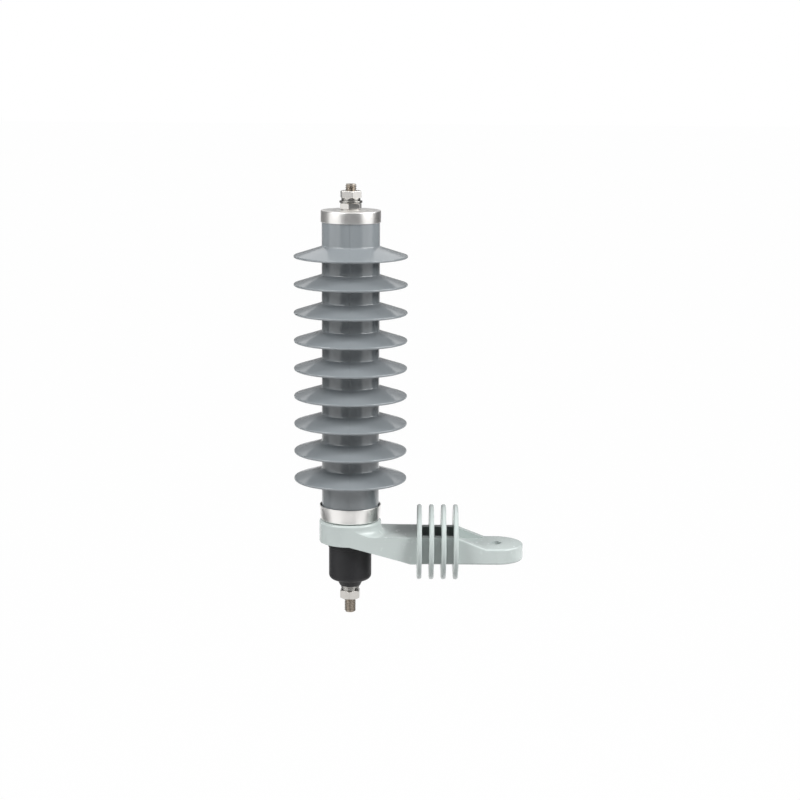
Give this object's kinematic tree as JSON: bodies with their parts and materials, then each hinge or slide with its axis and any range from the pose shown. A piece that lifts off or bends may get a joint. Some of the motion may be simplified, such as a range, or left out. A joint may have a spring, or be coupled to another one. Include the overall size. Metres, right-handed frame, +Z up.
{
  "type": "distribution surge arrester",
  "caption": "Polymer-housed surge arrester with round sheds and stud terminals on a finned insulating bracket, with a ground lead disconnector below.",
  "frame": {"origin": "centre of the bracket's mounting hole, on the underside of its end plate", "axes": "+Z up along the arrester's axis, towards the line terminal; the arrester stands at -X from the origin, at the other end of the bracket's arm; +Y completes a right-handed frame"},
  "size_m": [0.2045, 0.1, 0.384],
  "materials": {
    "fastener_steel": "satin, rolled threads",
    "cap_steel": "bright, drawn",
    "silicone_rubber": "smooth satin grey",
    "electrode_aluminium": "turned",
    "wound_fibreglass": "resin",
    "seal_rubber": "matt",
    "bracket_moulding": "glossy pale grey",
    "disconnector_moulding": "semi-matt black",
    "terminal_steel": "turned",
    "resistor_ceramic": "matt",
    "cartridge_brass": "satin",
    "contact_aluminium": "smooth",
    "zinc_oxide": "matt dark grey",
    "spring_steel": "smooth"
  },
  "bodies": {
    "root": {"top_terminal_stud": "fastener_steel", "top_lock_nut": "fastener_steel", "top_flat_washer": "fastener_steel", "top_spring_washer": "fastener_steel", "top_clamp_nut": "fastener_steel", "link_stud": "fastener_steel", "earth_stud": "fastener_steel", "earth_flat_washer": "fastener_steel", "earth_spring_washer": "fastener_steel", "earth_nut": "fastener_steel", "top_end_cap": "cap_steel", "bottom_end_cap": "cap_steel", "shed_housing": "silicone_rubber", "top_electrode": "electrode_aluminium", "bottom_electrode": "electrode_aluminium", "fibreglass_tube": "wound_fibreglass", "bottom_seal_ring": "seal_rubber", "top_seal_ring": "seal_rubber", "insulating_bracket": "bracket_moulding", "disconnector_housing": "disconnector_moulding", "disconnector_terminal": "terminal_steel", "grading_resistor": "resistor_ceramic", "ignition_cartridge": "cartridge_brass", "contact_disc_1": "contact_aluminium", "contact_disc_2": "contact_aluminium", "contact_disc_3": "contact_aluminium", "contact_disc_4": "contact_aluminium", "contact_disc_5": "contact_aluminium", "contact_disc_6": "contact_aluminium", "contact_disc_7": "contact_aluminium", "contact_disc_8": "contact_aluminium", "contact_disc_9": "contact_aluminium", "varistor_block_1": "zinc_oxide", "varistor_block_2": "zinc_oxide", "varistor_block_3": "zinc_oxide", "varistor_block_4": "zinc_oxide", "varistor_block_5": "zinc_oxide", "varistor_block_6": "zinc_oxide", "varistor_block_7": "zinc_oxide", "varistor_block_8": "zinc_oxide", "disc_spring_1": "spring_steel", "disc_spring_2": "spring_steel", "disc_spring_3": "spring_steel"}
  },
  "joints": []
}
